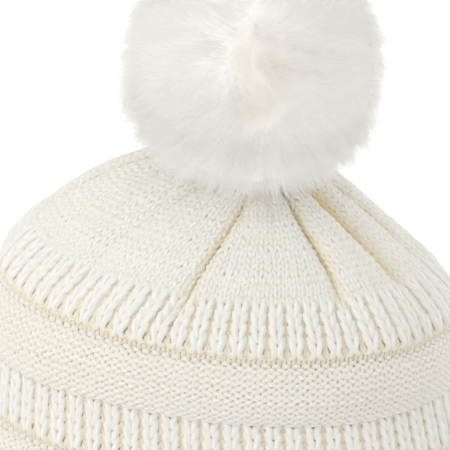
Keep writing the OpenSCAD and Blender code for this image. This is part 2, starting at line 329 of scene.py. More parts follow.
class Socket:
    """An output of a material's node. Sums with it add Math nodes."""

    def __init__(self, look, output):
        self.look, self.output = look, output

    def math(self, operation, a, b=0.0):
        return self.look.node("Math", {"operation": operation}, {0: a, 1: b})

    def __add__(self, other):
        return self.math("ADD", self, other)

    def __mul__(self, other):
        return self.math("MULTIPLY", self, other)

    __radd__, __rmul__ = __add__, __mul__

    def sine(self):
        return self.math("SINE", self)


class Look:
    """A procedural material, or the nodes of a world."""

    def __init__(self, name, world=None):
        self.material = world or bpy.data.materials.new(name)
        self.material.use_nodes = True
        self.tree = self.material.node_tree
        self.shader = self.tree.nodes["Background" if world else "Principled BSDF"]

    def node(self, kind, settings=(), sockets=(), out=0):
        made = self.tree.nodes.new("ShaderNode" + kind)
        for key, value in dict(settings).items():
            setattr(made, key, value)
        self.feed(made, sockets)
        return Socket(self, made.outputs[out])

    def feed(self, made, sockets):
        for key, value in dict(sockets).items():
            if isinstance(value, Socket):
                self.tree.links.new(value.output, made.inputs[key])
            else:
                made.inputs[key].default_value = value

    def finish(self, sockets):
        """Sets the sockets of the material's own shader."""
        self.feed(self.shader, sockets)

    def mixed(self, share, first, second):
        """A colour between two colours."""
        return self.node("Mix", {"data_type": "RGBA"}, {0: share, 6: first, 7: second}, "Result")

    def covered(self, share, cover):
        """Sends the material's shader to the surface, with a share of another shader in it."""
        own = Socket(self, self.shader.outputs[0])
        surface = self.node("MixShader", (), {0: share, 1: own, 2: cover})
        self.feed(self.tree.nodes["Material Output"], {"Surface": surface})

    def places(self):
        return self.node("TexCoord", out="Object")

    def split(self, vector):
        """The three coordinates of a vector."""
        made = self.node("SeparateXYZ", (), {0: vector}).output.node
        return [Socket(self, output) for output in made.outputs]

    def own_map(self):
        """The two coordinates of the piece's own map."""
        return self.split(self.node("UVMap", {"uv_map": "OFBake"}))[:2]

    def noise(self, vector, scale, detail=2.0):
        return self.node("TexNoise", (), {"Vector": vector, "Scale": scale, "Detail": detail}, "Fac")

    def bump(self, relief, distance, strength):
        return self.node("Bump", (), {"Height": relief, "Distance": distance, "Strength": strength}, "Normal")


def colour(red, green, blue):
    return (red, green, blue, 1.0)


rows_on_map, plies, ply_turns = 12, 3, 5
# Painted light at the bottom of folds: the warm colour of light between walls of yarn.
painted_fold_light = colour(0.93, 0.70, 0.35)


def yarn_look(name, deep, dull, bright, turns_along):
    """Twisted yarn. Far back in the fabric, where the attribute near falls to zero, it takes the deep colour,
    which is painted shade, and at the bottom of a fold, where near is below zero, painted light in the colour
    of light between walls of yarn."""
    look = Look(name)
    u, v = look.own_map()
    strand = (u * (2 * math.pi * turns_along) + v * (2 * math.pi * plies * rows_on_map)).sine()
    tone = look.noise(look.places(), 55.0)
    near = look.node("Attribute", {"attribute_name": "near"}, out="Fac")
    look.finish({
        "Base Color": look.mixed(
            near * -1.0, look.mixed(near, deep, look.mixed(tone, dull, bright)), painted_fold_light
        ),
        "Roughness": 0.85 + 0.1 * tone,
        "Specular IOR Level": 0.25,
        "Sheen Weight": 0.15,
        "Sheen Roughness": 0.5,
        "Normal": look.bump(strand, 0.12 * MM, 0.6),
    })
    return look


# The first colour is the painted shade far back in the fabric.
cream_yarn = yarn_look(
    "cream_yarn", colour(0.84, 0.74, 0.53), colour(0.825, 0.82, 0.77), colour(0.87, 0.868, 0.828),
    ply_turns * stitches,
)

yarn_r, loop_depth, rib_spread = 1.2 * MM, 0.8 * MM, 0.2
full_r, purl_out = 1.12 * yarn_r, 0.75
loop_points, yarn_sides = 10, 5
chance = np.random.default_rng(7)
stitch_place = (np.arange(stitches * loop_points) + 0.5) / loop_points


def uneven(amount):
    """A smooth random change from stitch to stitch."""
    return np.interp(
        stitch_place, np.arange(stitches) + 0.5, chance.normal(0, amount, stitches), period=stitches
    )


fold_shade_fade, bottom_from, bottom_range = 3 * MM, 1.8 * MM, 2.6 * MM


def near_after(depth):
    """What a fold leaves of how far forward a point at that depth lies, and how far at the bottom it is: the
    share of painted shade down the fold's sides and of painted light at its bottom.
    """
    return np.exp(-depth / fold_shade_fade), np.clip((depth - bottom_from) / bottom_range, 0, 1)


# Up the crown each panel between two deep folds loses stitches, a few courses at a time, so that the stitches
# stay about as wide as at its foot.
crown_foot = sum(rows for *_, rows, _ in bands[:5])
stitch_width, courses_alike = 3.6 * MM, 4
panel_edges = np.r_[deep_wale[-1] - stitches, deep_wale, deep_wale[:2] + stitches]


def stitch_map(row):
    """For a course that begins at that row, its stitches at each panel's edge and the wales there."""
    group = (row - crown_foot) // courses_alike
    if group < 1:
        all_round = np.array([-1.0, 0, stitches, stitches + 1])
        return all_round, all_round
    middle_row = crown_foot + (group + 0.5) * courses_alike
    lengths = panel_length[min(int(middle_row * row_parts), len(profile) - 1)]
    count = np.maximum(np.rint(lengths / stitch_width), 2)
    return np.r_[-count[-1], 0, np.cumsum(count), count.sum() + count[0]], panel_edges


# Each way of knitting: how far the legs of a stitch lean, in wales, and how far a loop reaches, in courses.
loop_shapes = {"plain": (0.28, 0.92), "purl": (0.17, 0.91), "rib": (0.26, 0.92), "stretched": (0.06, 1.0)}


def course(row, way, step):
    """One course of yarn: its path, how far forward its points lie, below 0 in a fold, and its thickness. How
    far forward they lie sets their painted shade.
    """
    edge_stitch, edge_wale = stitch_map(row)
    place = stitch_place * edge_stitch[-2] / stitches
    phase = 2 * math.pi * place
    foot = np.cos(phase) > 0
    # A rising course has the feet of purl stitches and the heads of stretched ones.
    if way == "rising":
        lean, tall = np.where(foot, loop_shapes["purl"][0], loop_shapes["stretched"][0]), 0.95
    else:
        lean, tall = loop_shapes[way]
    wale = place + (lean + uneven(0.015)) * np.sin(2 * phase) + uneven(0.03)
    level = row + step * (0.5 - tall * np.cos(phase)) + uneven(0.05)
    out = loop_depth * np.cos(2 * phase)
    forward, thickness = (out / loop_depth + 1) / 2, yarn_r
    if way == "plain":
        out, forward = -out, 1 - forward
        # The yarn is fuller where the count of stitches changes.
        thickness = full_r if (row - crown_foot) % courses_alike in (0, courses_alike - 1) else yarn_r
    elif way == "purl":
        out, thickness = purl_out * out, full_r
    elif way == "rib":
        # Thick knit stitches stand forward in columns, and thin purl ones lie back between them, in painted
        # shade.
        knit = np.floor(place) % 2 == 0
        centre = np.floor(place) + 0.5
        wale = np.where(knit, centre + 0.95 * (wale - centre), wale)
        out = np.where(knit, 0.55, -0.2) * (loop_depth - out)
        wale = wale - rib_spread * np.cos(math.pi * wale)
        forward = np.where(knit, np.clip((out / loop_depth + 1.2) / 2.2, 0, 1), 0.3)
        thickness = np.where(knit, 1.5, 0.95) * yarn_r
    else:
        purl_foot = foot if way == "rising" else np.zeros(len(foot), bool)
        out = np.where(purl_foot, purl_out, -0.3) * out
        forward = np.where(purl_foot, forward, 0.5)
        thickness = np.where(purl_foot, full_r, 0.65 * yarn_r)
    path, depth = on_fabric(level, np.interp(wale, edge_stitch, edge_wale), out + uneven(0.06 * MM))
    left, sunk = near_after(depth)
    return path, forward * left * (1 - sunk) - sunk, thickness


def shaped(mesh, change):
    """Moves a mesh's points: change takes and gives an array of places."""
    places = np.empty(len(mesh.vertices) * 3)
    mesh.vertices.foreach_get("co", places)
    mesh.vertices.foreach_set("co", change(places.reshape(-1, 3)).ravel())


# How far the inner face lies behind the middle of the fabric, by row, in millimetres: least just above the
# rolls. In the ribs it comes forward behind the knit stitches, by the last number.
backing = []
row = 0
for *_, rows, way in bands:
    if way == "purl":
        backing += [(row + 0.5, 0.4, 0), (row + rows - 1, 0.4, 0)]
        backing += [(row + rows - 0.5, 0.1, 0), (row + rows + 1.9, 0.1, 0)]
    else:
        lies = (0.4, 0.9) if way == "rib" else (0.25, 0)
        backing += [(row + 2.4 if row else 0, *lies), (row + rows - 0.5, *lies)]
    row += rows
backing_row, backing_depth, backing_rib = np.array(backing).T
face_thickness, groove_near = 0.8, 0.45


def sealed(b, mesh):
    """Writes a closed shape to a mesh, with its doubles merged and its faces turned outwards."""
    bmesh.ops.remove_doubles(b, verts=b.verts, dist=1e-6)
    bmesh.ops.recalc_face_normals(b, faces=b.faces)
    b.to_mesh(mesh)
    b.free()
    mesh.shade_smooth()


def inner_face(first, last, slot, fine):
    """The fabric's inner face from one row to another: a thin closed band that the loops stand on. It takes
    the painted shade colour that shows through the holes between loops, less of it in the groove above each
    roll and behind the rib's knit stitches, and painted light at the bottom of folds.
    """
    mesh = bpy.data.meshes.new("inner_face")
    steps = fine * (last - first)
    sides = 2 * steps + 2
    b = bmesh.new()
    bmesh.ops.create_grid(b, x_segments=2 * stitches, y_segments=sides, size=0.5, calc_uvs=False)
    layer = b.loops.layers.uv.new("OFBake")
    for f in b.faces:
        for corner in f.loops:
            corner[layer].uv = (corner.vert.co.x + 0.5, (slot + 0.5 + corner.vert.co.y) / rows_on_map)
    b.to_mesh(mesh)
    b.free()

    def behind(at):
        step = np.rint((at[:, 1] + 0.5) * sides) % sides
        level = first + np.where(step <= steps, step, sides - 1 - step) / fine
        wale = (at[:, 0] + 0.5) * stitches
        rib = np.interp(level, backing_row, backing_rib) * np.clip(np.sin(math.pi * wale), 0, 1)
        depth = np.interp(level, backing_row, backing_depth)
        points, fold = on_fabric(level, wale, (rib - depth - face_thickness * (step > steps)) * MM)
        near = np.where(depth < 0.15, groove_near, 0.9 * rib) - near_after(fold)[1]
        marked(mesh, "near", near)
        return points

    shaped(mesh, behind)
    b = bmesh.new()
    b.from_mesh(mesh)
    sealed(b, mesh)
    return mesh


def joined(first, second):
    """Adds a mesh to another one."""
    b = bmesh.new()
    b.from_mesh(first)
    b.from_mesh(second)
    b.to_mesh(first)
    b.free()
    bpy.data.meshes.remove(second)


# The ribs are drawn out, so that each of their courses takes up one and a half rows.
row = 0
for name, node, _, rows, way in bands:
    courses = [(0, "rising", 1), (1, "stretched", 1)] if node in ("middle_rib", "shoulder_rib") else []
    tall_by = 1.5 if way == "rib" else 1
    courses += [(at, way, tall_by) for at in np.arange(len(courses), rows, tall_by)]
    paths, forwards, widths = [], [], []
    for at, knitted, step in courses:
        path, near_by, width = course(row + at, knitted, step)
        paths, forwards, widths = paths + [path], forwards + [near_by], widths + [width]
    parts = math.ceil(len(courses) / rows_on_map)
    for number, chosen in enumerate(np.array_split(np.arange(len(courses)), parts)):
        mesh = yarns(name, [paths[i] for i in chosen], [widths[i] for i in chosen], yarn_sides, True)
        yarn_of_loop = np.arange(len(mesh.loops)) // (4 * stitches * loop_points * yarn_sides)
        remap(mesh, lambda along, around: (along, (yarn_of_loop + around) / rows_on_map))
        marked(mesh, "near", np.repeat(np.concatenate([forwards[i] for i in chosen]), yarn_sides))
        first, last = courses[chosen[0]][0], courses[chosen[-1]][0] + tall_by
        joined(mesh, inner_face(int(row + first), int(row + last), len(chosen), 2 if way == "plain" else 1))
        piece(name if parts == 1 else f"{name}_{number + 1}", mesh, cream_yarn, "hat", node)
    row += rows

# The brim's edge is the chain of the cast-on, two strands of the same yarn that cross over each other once
# for each stitch. It closes the rib's foot and is what the hat stands on.
twist_r, chain_out, chain_up, cord_near = 1.0 * MM, 0.4 * MM, 0.55 * MM, 0.8


def welded(mesh):
    """Closes the pointed ends of yarns and hairs."""
    b = bmesh.new()
    b.from_mesh(mesh)
    bmesh.ops.remove_doubles(b, verts=b.verts, dist=1e-7)
    b.to_mesh(mesh)
    b.free()


def yarn_piece(name, paths, thickness, closed, look, body, node):
    """A piece of yarns that are all as many points long."""
    mesh = yarns(name, paths, thickness, yarn_sides, closed)
    yarn_of_loop = np.arange(len(mesh.loops)) // (len(mesh.loops) // len(paths))
    remap(mesh, lambda along, around: (along, (yarn_of_loop + around) / rows_on_map))
    marked(mesh, "near", np.full(len(mesh.vertices), cord_near))
    if not closed:
        welded(mesh)
    return piece(name, mesh, look, body, node)


edge_paths = []
for side in (0, math.pi):
    phase = math.pi * stitch_place + side
    edge_paths.append(
        on_fabric(0 * stitch_place, stitch_place, chain_out + twist_r * np.cos(phase))[0]
        + np.c_[0 * phase, 0 * phase, chain_up + twist_r * np.sin(phase)]
    )
yarn_piece("brim_chain", edge_paths, [yarn_r] * 2, True, cream_yarn, "hat", "brim_edge")

# The back seam closes the tube up the middle of the back. A yarn is whipped over the two edges on the inside,
# from the brim to the top of the shoulder, and its ends are darned in.
seam_yarn = yarn_look(
    "seam_yarn", colour(0.8, 0.7, 0.5), colour(0.83, 0.81, 0.74), colour(0.87, 0.855, 0.79), 400
)
seam_foot, seam_rows, whips, whip_points = 0.3, crown_foot - 0.5, 44, 12
seam_inside, whip_r, whip_wales, seam_r = 2.2 * MM, 0.9 * MM, 0.4, 0.8 * MM
climb = np.arange(whips * whip_points + 1) / (whips * whip_points)
whip = 2 * math.pi * whips * climb
back_wale = stitches / 4 + whip_wales * np.cos(whip)
seam_path = on_fabric(seam_foot + seam_rows * climb, back_wale, -seam_inside - whip_r * np.sin(whip))[0]
seam_width = seam_r * np.clip(np.minimum(climb, 1 - climb) / 0.01, 0, 1)
yarn_piece("seam_whipping", [seam_path], [seam_width], False, seam_yarn, "hat", "back_seam")

# The top of the crown is drawn up tight in small pleats round the snap. It closes the hole that the last
# course leaves, over the felt patch and under the snap's stud.
crown_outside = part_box("crown_gathers")[1].z
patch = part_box("crown_patch")


def turned(b, axis, steps):
    """Turns an outline full round an axis."""
    outline = b.verts[:] + b.edges[:]
    bmesh.ops.spin(
        b, geom=outline, cent=(0, 0, 0), axis=axis, angle=2 * math.pi, steps=steps, use_merge=True
    )


def lathe(name, outline, steps, closed):
    """A mesh turned round the middle from an outline of radii and heights."""
    mesh = bpy.data.meshes.new(name)
    b = bmesh.new()
    verts = [b.verts.new((r, 0, z)) for r, z in outline]
    for first, second in zip(verts, verts[1:] + verts[:1] if closed else verts[1:]):
        b.edges.new((first, second))
    turned(b, (0, 0, 1), steps)
    sealed(b, mesh)
    return mesh


rivet_hole = 1.7 * MM
pucker_line = [
    (rivet_hole, patch[1].z), (pucker_r, patch[1].z), (pucker_r + 2.2 * MM, crown_outside - 3.4 * MM),
    (pucker_r + 1.5 * MM, crown_outside - 1.8 * MM), (15 * MM, crown_outside - 0.8 * MM),
    (13.5 * MM, crown_outside - 0.3 * MM), (12 * MM, crown_outside), (10 * MM, crown_outside),
    (8.3 * MM, crown_outside), (6.6 * MM, crown_outside), (rivet_hole, crown_outside),
]
pleats, pleat_depth = stitches // 3, 1.1 * MM
pucker = lathe("knit_pucker", pucker_line, 6 * pleats, True)


def pleated(at):
    """The pleats of the drawn-up knit, deeper outwards."""
    flat = np.hypot(at[:, 0], at[:, 1])
    depth = pleat_depth * eased(flat, 6.6 * MM, 11 * MM) * (at[:, 2] > crown_outside - 2 * MM)
    at[:, 2] -= depth * (0.5 - 0.5 * np.cos(pleats * np.arctan2(at[:, 1], at[:, 0])))
    return at


shaped(pucker, pleated)
drawn_knit = Look("drawn_knit")
x, y, _ = drawn_knit.split(drawn_knit.places())
wale_lines = (x.math("ARCTAN2", y, x) * stitches).sine()
knit_tone = drawn_knit.noise(drawn_knit.places(), 300.0)
# Painted shade: the lines between the wales are a darker cream, under a random tone. The same lines give the
# bump.
drawn_knit.finish({
    "Base Color": drawn_knit.mixed(
        0.35 + 0.35 * wale_lines + 0.3 * knit_tone, colour(0.82, 0.76, 0.62), colour(0.88, 0.87, 0.82)
    ),
    "Roughness": 0.85 + 0.1 * knit_tone, "Specular IOR Level": 0.2, "Sheen Weight": 0.15,
    "Normal": drawn_knit.bump(wale_lines + knit_tone, 0.3 * MM, 0.8),
})
piece("knit_pucker", pucker, drawn_knit, "hat", "crown_gathers")

# The drawstring is a doubled yarn that holds the pleats in a ring round the snap. It is tied in a small knot
# at the back, with its ends darned into the knit.
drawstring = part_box("crown_drawstring")
drawstring_r = drawstring[1].x - 1.2 * MM
drawstring_yarn = yarn_look(
    "drawstring_yarn", colour(0.8, 0.71, 0.52), colour(0.84, 0.825, 0.76), colour(0.88, 0.87, 0.81), 120
)


def twisted_ring(radius, level, twist, twists, points):
    """Two strands twisted round each other in a ring."""
    turn = np.arange(points) * 2 * math.pi / points
    for side in (0, math.pi):
        out, up = twist * np.cos(twists * turn + side), 0.6 * twist * np.sin(twists * turn + side)
        yield np.c_[(radius + out) * np.cos(turn), (radius + out) * np.sin(turn), level + up]


ring_points, ring_twists, strand_r, strand_gap, knot_size = 240, 20, 0.55 * MM, 0.5 * MM, 0.42 * MM
strands = list(twisted_ring(drawstring_r, drawstring[0].z + strand_r, strand_gap, ring_twists, ring_points))
t = np.arange(ring_points) * 2 * math.pi / ring_points
knot = knot_size * np.c_[np.sin(t) + 2 * np.sin(2 * t), np.cos(t) - 2 * np.cos(2 * t), -np.sin(3 * t)]
strands.append(knot + np.array([0, drawstring_r, drawstring[0].z + 2 * strand_r]))
yarn_piece(
    "drawstring", strands, [strand_r] * 3, True, drawstring_yarn, "hat", "crown_drawstring"
)

# The patch is a disc of thick cream felt under the top of the crown. The stud's rivet goes through its
# middle, and it keeps the rivet from pulling through the knit.
felt_gap = 0.05 * MM


def washer(hole, radius, low, high):
    """The outline of a flat ring with a round outer edge."""
    half, middle = (high - low) / 2, (high + low) / 2
    bend = np.linspace(-math.pi / 2, math.pi / 2, 9)
    rim = np.c_[radius - half + half * np.cos(bend), middle + half * np.sin(bend)]
    return [(hole, low), *rim, (hole, high)]


felt = Look("felt")
fibres = felt.noise(felt.places(), 900.0, 6.0)
clouds = felt.noise(felt.places(), 120.0)
felt.finish({
    "Base Color": felt.mixed(
        0.6 * fibres + 0.4 * clouds, colour(0.70, 0.66, 0.56), colour(0.86, 0.83, 0.74)
    ),
    "Roughness": 0.9 + 0.08 * clouds, "Specular IOR Level": 0.15, "Sheen Weight": 0.3,
    "Normal": felt.bump(fibres, 0.25 * MM, 0.7),
})
felt_disc = lathe("felt_patch", washer(rivet_hole, patch[1].x, patch[0].z, patch[1].z - felt_gap), 96, True)
felt_patch = piece("felt_patch", felt_disc, felt, "hat", "crown_patch")

# The snap joins the pom to the hat: a riveted stud on the crown, and a socket with two spring wires that is
# riveted through a stiff disc in the pom's foot. These are the CAD parts, of nickelled brass, wire and nylon.
snap_metal = Look("snap_metal")
scuffs = snap_metal.noise(snap_metal.places(), 700.0, 4.0)
snap_metal.finish({
    "Base Color": snap_metal.mixed(scuffs, colour(0.62, 0.60, 0.56), colour(0.82, 0.81, 0.78)),
    "Metallic": 1.0, "Roughness": 0.18 + 0.25 * scuffs,
    "Normal": snap_metal.bump(scuffs, 0.03 * MM, 0.4),
})
spring_wire = Look("spring_wire")
along_wire = spring_wire.node(
    "VectorMath", {"operation": "MULTIPLY"}, {0: spring_wire.places(), 1: (60, 3000, 3000)}
)
drawn_lines = spring_wire.noise(along_wire, 1.0, 3.0)
spring_wire.finish({
    "Base Color": spring_wire.mixed(drawn_lines, colour(0.36, 0.35, 0.34), colour(0.52, 0.51, 0.5)),
    "Metallic": 1.0, "Roughness": 0.25 + 0.2 * drawn_lines,
})
hub_plastic = Look("hub_plastic")
flow = hub_plastic.noise(hub_plastic.places(), 160.0, 4.0)
hub_plastic.finish({
    "Base Color": hub_plastic.mixed(flow, colour(0.80, 0.79, 0.75), colour(0.87, 0.86, 0.83)),
    "Roughness": 0.38 + 0.2 * flow, "Normal": hub_plastic.bump(flow, 0.05 * MM, 0.5),
})
for look, nodes in (
    (snap_metal, ("stud_rivet", "snap_stud", "snap_socket", "socket_rivet")),
    (spring_wire, ("socket_springs",)),
    (hub_plastic, ("hub_disc",)),
):
    for node in nodes:
        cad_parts[node].material_slots[0].material = look.material

# The stuffing is a firm ball of polyester wadding that fills the pelt. It is a little lumpy, and flat below,
# where it rests on the disc's rivet.
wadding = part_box("pom_stuffing")
wadding_r, lumpiness = 28.2 * MM, 0.02
wadding_z = wadding[1].z - wadding_r
foot = math.asin((wadding[0].z - wadding_z) / wadding_r)
bend = np.linspace(foot, math.pi / 2, 41)
wadding_line = [(0, wadding[0].z), *np.c_[wadding_r * np.cos(bend), wadding_z + wadding_r * np.sin(bend)]]
wadding_line[-1] = (0, wadding[1].z)
stuffing_ball = lathe("stuffing_ball", wadding_line, 96, False)


def lumpy(at):
    """Uneven wadding, but for its flat foot."""
    way = at - np.array([0, 0, wadding_z])
    lumps = (
        np.sin(260 * at[:, 0] + 90 * at[:, 2])
        + np.sin(310 * at[:, 1] - 120 * at[:, 0])
        + np.sin(280 * at[:, 2] + 1)
    )
    free = eased(at[:, 2], wadding[0].z, wadding[0].z + 6 * MM)
    return at - way * (lumpiness * free * (0.5 + lumps / 6))[:, None]


shaped(stuffing_ball, lumpy)
stuffing = Look("stuffing")
wisps = stuffing.noise(stuffing.places(), 500.0, 8.0)
stuffing.finish({
    "Base Color": stuffing.mixed(wisps, colour(0.82, 0.82, 0.81), colour(0.93, 0.93, 0.925)),
    "Roughness": 0.85 + 0.1 * wisps, "Sheen Weight": 0.3, "Normal": stuffing.bump(wisps, 0.5 * MM, 0.7),
})
piece("stuffing_ball", stuffing_ball, stuffing, "pom", "pom_stuffing")

# The pelt is the woven backing of the faux fur, sewn into a bag round the stuffing. Its mouth is gathered
# under the disc, so that the disc can't come out and the pom turns on it.
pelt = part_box("pom_pelt")
pelt_r, pelt_thickness, mouth_r, foot_r = pelt[1].x, 1.5 * MM, 7.2 * MM, 13.3 * MM
pelt_z = pelt[1].z - pelt_r


def pelt_arc(radius, floor_z):
    """One side of the bag in outline: its flat foot from the mouth outwards, and up over the ball."""
    bend = np.linspace(math.asin((floor_z - pelt_z) / radius), math.pi / 2, 45)
    arc = np.c_[radius * np.cos(bend), pelt_z + radius * np.sin(bend)]
    arc[-1, 0] = 0
    floor = np.linspace(mouth_r, arc[0, 0], 6)[:-1]
    return np.vstack([np.c_[floor, np.full(5, floor_z)], arc])


inner_arc = pelt_arc(pelt_r - pelt_thickness, pelt[0].z + pelt_thickness)
outer_arc = pelt_arc(pelt_r, pelt[0].z)
gathers, gather_depth = 26, 0.05
pelt_bag = lathe("pelt_bag", np.vstack([inner_arc[::-1], outer_arc]), 6 * gathers, False)


def gathered(at):
    """The small folds round the pelt's foot, where the thread draws it in."""
    turn, flat = np.arctan2(at[:, 1], at[:, 0]), np.hypot(at[:, 0], at[:, 1])
    drawn_in = np.exp(-np.maximum(at[:, 2] - pelt[0].z, 0) / (7 * MM)) * eased(flat, 10.8 * MM, 14 * MM)
    pinch = 1 - gather_depth * drawn_in * (0.5 + 0.5 * np.cos(gathers * turn))
    return np.c_[at[:, :2] * pinch[:, None], at[:, 2]]


shaped(pelt_bag, gathered)
backing_cloth = Look("pelt_backing")
x, y, z = backing_cloth.split(backing_cloth.places())
weave = ((x + y) * 5000.0).sine() * (z * 5000.0).sine()
weave_tone = backing_cloth.noise(backing_cloth.places(), 90.0)
backing_cloth.finish({
    "Base Color": backing_cloth.mixed(
        0.4 + 0.2 * weave + 0.3 * weave_tone, colour(0.78, 0.77, 0.74), colour(0.9, 0.895, 0.88)
    ),
    "Roughness": 0.8 + 0.1 * weave_tone, "Specular IOR Level": 0.2,
    "Normal": backing_cloth.bump(weave, 0.15 * MM, 0.6),
})
pelt_piece = piece("pelt_bag", pelt_bag, backing_cloth, "pom", "pom_pelt")

# The gathering thread draws the pelt's mouth shut under the disc. It is a strong thread of two strands, run
# round the mouth and pulled tight.
gather_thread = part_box("pom_thread")
thread_strand, thread_twists, thread_points = 0.34 * MM, 34, 408
thread_r = gather_thread[1].x - 0.7 * MM
thread_z = (gather_thread[0].z + gather_thread[1].z) / 2
pelt_thread = yarn_look(
    "pelt_thread", colour(0.78, 0.77, 0.74), colour(0.86, 0.855, 0.84), colour(0.92, 0.915, 0.9), 200
)
yarn_piece(
    "gathering_thread",
    list(twisted_ring(thread_r, thread_z, thread_strand, thread_twists, thread_points)),
    [thread_strand] * 2, True, pelt_thread, "pom", "pom_thread",
)

# The pom's underfur is the dense white pile of the faux fur, rooted in the pelt. It lies away from a crooked
# parting down the front of the ball, in ridges that run the way it is combed. Its foot spreads on the crown.
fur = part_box("pom_fur")
pom_r, pom_lift = fur[1].x, 2 * MM
pom_centre = np.array([0, 0, fur[1].z - pom_r + pom_lift])
pile_share, root_share, lower_half = 0.88, 0.84, 0.8
parting_middle, parting_up = np.array([0.08, -0.98, 0.19]), np.array([-0.1, 0.19, 0.975])
parting_length = 0.85


def unit(vectors):
    return vectors / np.linalg.norm(vectors, axis=-1, keepdims=True)


parting_middle = unit(parting_middle)
parting_up = unit(parting_up - parting_middle * (parting_up @ parting_middle))
parting_side = np.cross(parting_up, parting_middle)


def lie(directions):
    """How far the pile has run from the parting, and which way round the ball it went, from -pi to pi."""
    upwards, sideways = directions @ parting_up, directions @ parting_side
    flat = (upwards + 1j * sideways) / (1.0001 + directions @ parting_middle)
    half = math.tan(parting_length / 4)
    wander = 0.06 * np.sin(2.4 * flat.real / half) + 0.012 * np.sin(5.6 * flat.real / half + 0.8)
    flat = flat + 1j * wander / (1 + np.abs(flat / half) ** 2)
    run = np.arccosh(flat / half + 0j)
    return np.abs(run.real), np.where(run.real < 0, -run.imag, run.imag)


crown_oval, knit_height = 0.9, 4.5 * MM


def above_hat(points, gap):
    """Moves points that would be in the hat up on to its crown."""
    plan = np.hypot(points[..., 0], points[..., 1] / crown_oval)
    opened = np.clip((plan - pucker_r) / (crown_r - pucker_r), 0, 1)
    crown_z = crown_top - (crown_top - crown[0].z) * opened**crown_curve + knit_height + gap
    return np.concatenate([points[..., :2], np.maximum(points[..., 2:], crown_z[..., None])], -1)


def fullness(directions):
    """How far the ball reaches in each direction, as a share of its radius. Its lower half is flatter and
    squarer, most of all at the front."""
    flat = np.hypot(directions[:, 0], directions[:, 1])
    below = np.abs(np.minimum(directions[:, 2], 0)) / lower_half
    square = 3 + 3 * (np.clip(-directions[:, 1], 0, 1) / np.maximum(flat, 1e-6)) ** 3.4
    return np.where(directions[:, 2] < 0, (flat**square + below**square) ** (-1 / square), 1.0)


def ripple(across, along, columns, rows):
    """Smooth random hills, about -1 to 1, in a grid of that many columns and rows; across runs round."""
    table = chance.normal(0, 0.6, (rows + 2, columns))
    x, y = across * columns, along * rows
    x0, y0 = np.floor(x).astype(int), np.floor(y).astype(int)
    fx, fy = x - x0, y - y0
    fx, fy = fx * fx * (3 - 2 * fx), fy * fy * (3 - 2 * fy)
    low = table[y0, x0 % columns] * (1 - fx) + table[y0, (x0 + 1) % columns] * fx
    high = table[y0 + 1, x0 % columns] * (1 - fx) + table[y0 + 1, (x0 + 1) % columns] * fx
    return low * (1 - fy) + high * fy


under_fur = Look("under_fur")
places = under_fur.places()
parted = under_fur.node("Attribute", {"attribute_name": "parted"}, out="Fac")
pile_tone = under_fur.noise(places, 60.0)
# The underside glows: painted light that stands for light coming through the fur.
low = under_fur.node(
    "MapRange", {"interpolation_type": "SMOOTHSTEP"},
    {
        "Value": under_fur.split(places)[2],
        "From Min": pom_centre[2] - 0.4 * pom_r, "From Max": pom_centre[2] - 0.9 * pom_r,
    },
)
# Down in the parting the pile is painted darker and warmer, as painted shade.
pile_white = under_fur.mixed(pile_tone, colour(0.89, 0.886, 0.874), colour(0.92, 0.917, 0.906))
under_fur.finish({
    "Base Color": under_fur.mixed(parted, pile_white, colour(0.725, 0.67, 0.565)),
    "Roughness": 0.85 + 0.1 * pile_tone, "Specular IOR Level": 0.1, "Sheen Weight": 0.2,
    "Emission Color": under_fur.mixed(low, colour(0.04, 0.04, 0.039), colour(1, 0.985, 0.955)),
    "Emission Strength": 0.65,
    "Normal": under_fur.bump(under_fur.noise(places, 900.0), 0.15 * MM, 0.4),
})
under_mesh = bpy.data.meshes.new("pom_underfur")
b = bmesh.new()
bmesh.ops.create_circle(b, segments=240, radius=1.0)
bmesh.ops.delete(b, geom=[vert for vert in b.verts if vert.co.y < -1e-4], context="VERTS")
turned(b, (1, 0, 0), 480)
bmesh.ops.remove_doubles(b, verts=b.verts, dist=1e-6)
b.to_mesh(under_mesh)
b.free()
ball = np.empty(len(under_mesh.vertices) * 3)
under_mesh.vertices.foreach_get("co", ball)
ball = unit(ball.reshape(-1, 3)) @ np.array([parting_middle, parting_up, parting_side])
run, way_round = lie(ball)
across, along = (way_round / (2 * math.pi)) % 1, run / (run + 1.2)
across = across + 0.012 * ripple(across, along, 14, 7)
swell = (
    0.65 * ripple(across, along, 30, 10)
    + 0.3 * ripple(across, along, 110, 14)
    + 0.12 * ripple(across, along, 380, 20)
) * run**2 / (run**2 + 0.6)
parting_rise = 0.05 * np.exp(-((run / 0.7) ** 2))
pile = pom_centre + (((pile_share + parting_rise) * pom_r + swell * MM) * fullness(ball))[:, None] * ball
under_mesh.vertices.foreach_set("co", above_hat(pile, 0).ravel())
# Painted shade in the parting, patchy along it.
parting_shade = np.exp(-((run / 0.6) ** 2)) * np.clip(0.65 + 0.5 * ripple(across, along, 9, 6), 0, 1)
marked(under_mesh, "parted", parting_shade)
